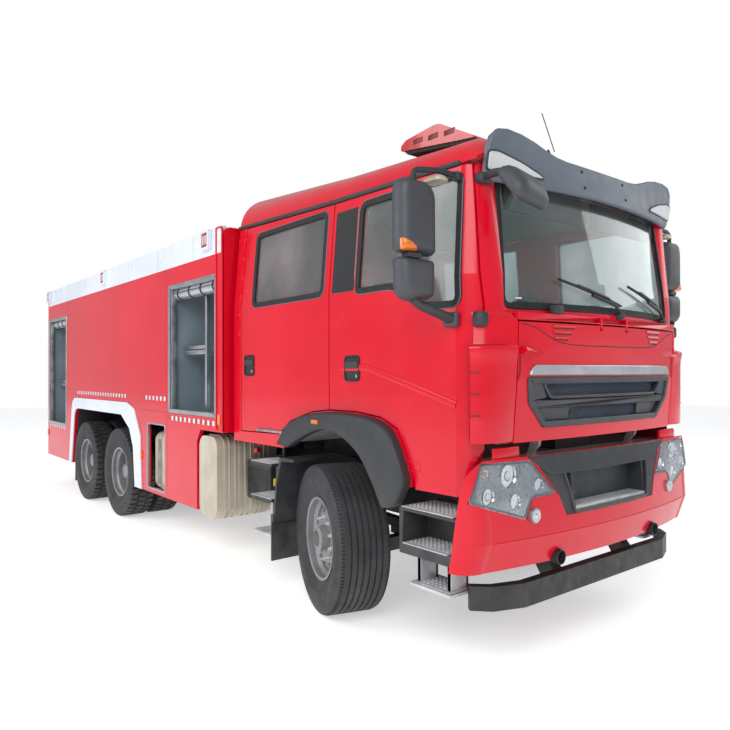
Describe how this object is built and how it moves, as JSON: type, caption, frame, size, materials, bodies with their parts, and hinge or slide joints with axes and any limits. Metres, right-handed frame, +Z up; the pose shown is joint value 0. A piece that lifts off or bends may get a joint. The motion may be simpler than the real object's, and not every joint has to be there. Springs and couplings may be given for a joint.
{
  "type": "foam fire truck with a tilting crew cab",
  "caption": "Heavy foam and water fire truck: tilting crew cab, steered front axle, tandem rear axle with twin tyres, shutter lockers and a turning roof monitor.",
  "frame": {"origin": "middle of the bounding box's floor, on the ground", "axes": "+X forwards, +Y to the truck's left, +Z up"},
  "size_m": [9.5594, 3.12, 3.432],
  "materials": {
    "red_paint": "gloss",
    "white_paint": "gloss",
    "chassis_paint": "satin",
    "dark_plastic": "satin",
    "black_plastic": "matt",
    "engine_iron": "cast",
    "locker_sheet": "satin",
    "shutter_aluminium": "anodised",
    "tread_plate": "checkered",
    "tank_alloy": "satin",
    "galvanised": "galvanised",
    "silver_paint": "satin",
    "tyre_rubber": "matt",
    "tinted_glass": "clear",
    "lamp_housing": "reflector",
    "red_lens": "gloss",
    "seat_cloth": "woven",
    "dash_plastic": "grained",
    "mirror_housing": "satin",
    "monitor_red": "gloss"
  },
  "bodies": {
    "chassis": {"chassis_rails": "chassis_paint", "engine": "engine_iron", "front_axle": "chassis_paint", "rear_axles": "chassis_paint", "bumper": "red_paint", "bumper_insert": "black_plastic", "front_lamps": "lamp_housing", "underrun_bar": "chassis_paint", "steps_and_fenders": "dark_plastic", "fuel_tank": "tank_alloy", "exhaust_canister": "tank_alloy", "body_floor": "chassis_paint", "body_walls": "red_paint", "roof_deck": "tread_plate", "compartment_tubs": "locker_sheet", "roller_shutters": "shutter_aluminium", "white_trims": "white_paint", "rear_mudguards": "black_plastic", "rear_bumper": "chassis_paint", "rear_ladder": "tread_plate"},
    "monitor_turret": {"monitor_swivel": "monitor_red"},
    "monitor_gun": {"monitor_barrel": "monitor_red"},
    "cab": {"cab_frame": "red_paint", "cab_rear_wall": "red_paint", "cab_floor": "dark_plastic", "cab_roof": "red_paint", "windscreen": "tinted_glass", "visor": "dark_plastic", "lightbar": "red_lens", "corner_deflectors": "red_paint", "cab_flares": "dark_plastic", "front_seats": "seat_cloth", "crew_seats": "seat_cloth", "dashboard": "dash_plastic"},
    "service_flap": {"front_flap": "red_paint", "grille": "black_plastic"},
    "front_door_left": {"door_front_left": "red_paint", "door_glass_front_left": "tinted_glass", "mirror_left": "mirror_housing"},
    "crew_door_left": {"door_crew_left": "red_paint", "door_glass_crew_left": "tinted_glass"},
    "knuckle_left": {"knuckle_left": "chassis_paint"},
    "front_wheel_left": {"tyre_front_left": "tyre_rubber", "rim_front_left": "silver_paint"},
    "mid_wheels_left": {"tyres_mid_left": "tyre_rubber", "rims_mid_left": "silver_paint"},
    "rear_wheels_left": {"tyres_rear_left": "tyre_rubber", "rims_rear_left": "silver_paint"},
    "front_door_right": {"door_front_right": "red_paint", "door_glass_front_right": "tinted_glass", "mirror_right": "mirror_housing"},
    "crew_door_right": {"door_crew_right": "red_paint", "door_glass_crew_right": "tinted_glass"},
    "knuckle_right": {"knuckle_right": "chassis_paint"},
    "front_wheel_right": {"tyre_front_right": "tyre_rubber", "rim_front_right": "silver_paint"},
    "mid_wheels_right": {"tyres_mid_right": "tyre_rubber", "rims_mid_right": "silver_paint"},
    "rear_wheels_right": {"tyres_rear_right": "tyre_rubber", "rims_rear_right": "silver_paint"}
  },
  "joints": [
    {"name": "cab_tilt", "type": "hinge", "parent": "chassis", "child": "cab", "pos_m": [4.44, 0, 1.15], "axis": [0, 1, 0], "range_deg": [0, 45]},
    {"name": "flap_open", "type": "hinge", "parent": "cab", "child": "service_flap", "pos_m": [4.588, 0, 2.02], "axis": [0, -1, 0], "range_deg": [0, 85]},
    {"name": "monitor_turn", "type": "hinge", "parent": "chassis", "child": "monitor_turret", "pos_m": [-0.3, 0, 2.96], "axis": [0, 0, 1], "continuous": true},
    {"name": "monitor_lift", "type": "hinge", "parent": "monitor_turret", "child": "monitor_gun", "pos_m": [-0.3, 0, 3.19], "axis": [0, -1, 0], "range_deg": [-10, 60]},
    {"name": "front_door_left_open", "type": "hinge", "parent": "cab", "child": "front_door_left", "pos_m": [4.35, 1.1, 2], "axis": [0, 0, -1], "range_deg": [0, 60]},
    {"name": "crew_door_left_open", "type": "hinge", "parent": "cab", "child": "crew_door_left", "pos_m": [3.005, 1.168, 2], "axis": [0, 0, -1], "range_deg": [0, 70]},
    {"name": "steer_left", "type": "hinge", "parent": "chassis", "child": "knuckle_left", "pos_m": [3, 0.93, 0.535], "axis": [0, 0, 1], "range_deg": [-21.8, 54.2]},
    {"name": "spin_front_left", "type": "hinge", "parent": "knuckle_left", "child": "front_wheel_left", "pos_m": [3.02441, 1.01403, 0.535], "axis": [0.279, 0.9603, 0], "continuous": true},
    {"name": "spin_mid_left", "type": "hinge", "parent": "chassis", "child": "mid_wheels_left", "pos_m": [-1.3, 0.92, 0.535], "axis": [0, 1, 0], "continuous": true},
    {"name": "spin_rear_left", "type": "hinge", "parent": "chassis", "child": "rear_wheels_left", "pos_m": [-2.65, 0.92, 0.535], "axis": [0, 1, 0], "continuous": true},
    {"name": "front_door_right_open", "type": "hinge", "parent": "cab", "child": "front_door_right", "pos_m": [4.35, -1.1, 2], "axis": [0, 0, 1], "range_deg": [0, 60]},
    {"name": "crew_door_right_open", "type": "hinge", "parent": "cab", "child": "crew_door_right", "pos_m": [3.005, -1.168, 2], "axis": [0, 0, 1], "range_deg": [0, 70]},
    {"name": "steer_right", "type": "hinge", "parent": "chassis", "child": "knuckle_right", "pos_m": [3, -0.93, 0.535], "axis": [0, 0, 1], "range_deg": [-21.8, 54.2]},
    {"name": "spin_front_right", "type": "hinge", "parent": "knuckle_right", "child": "front_wheel_right", "pos_m": [2.97559, -1.01403, 0.535], "axis": [0.279, 0.9603, 0], "continuous": true},
    {"name": "spin_mid_right", "type": "hinge", "parent": "chassis", "child": "mid_wheels_right", "pos_m": [-1.3, -0.92, 0.535], "axis": [0, 1, 0], "continuous": true},
    {"name": "spin_rear_right", "type": "hinge", "parent": "chassis", "child": "rear_wheels_right", "pos_m": [-2.65, -0.92, 0.535], "axis": [0, 1, 0], "continuous": true}
  ],
  "couplings": [
    {"joint": "steer_right", "follows": "steer_left", "ratio": 1}
  ]
}
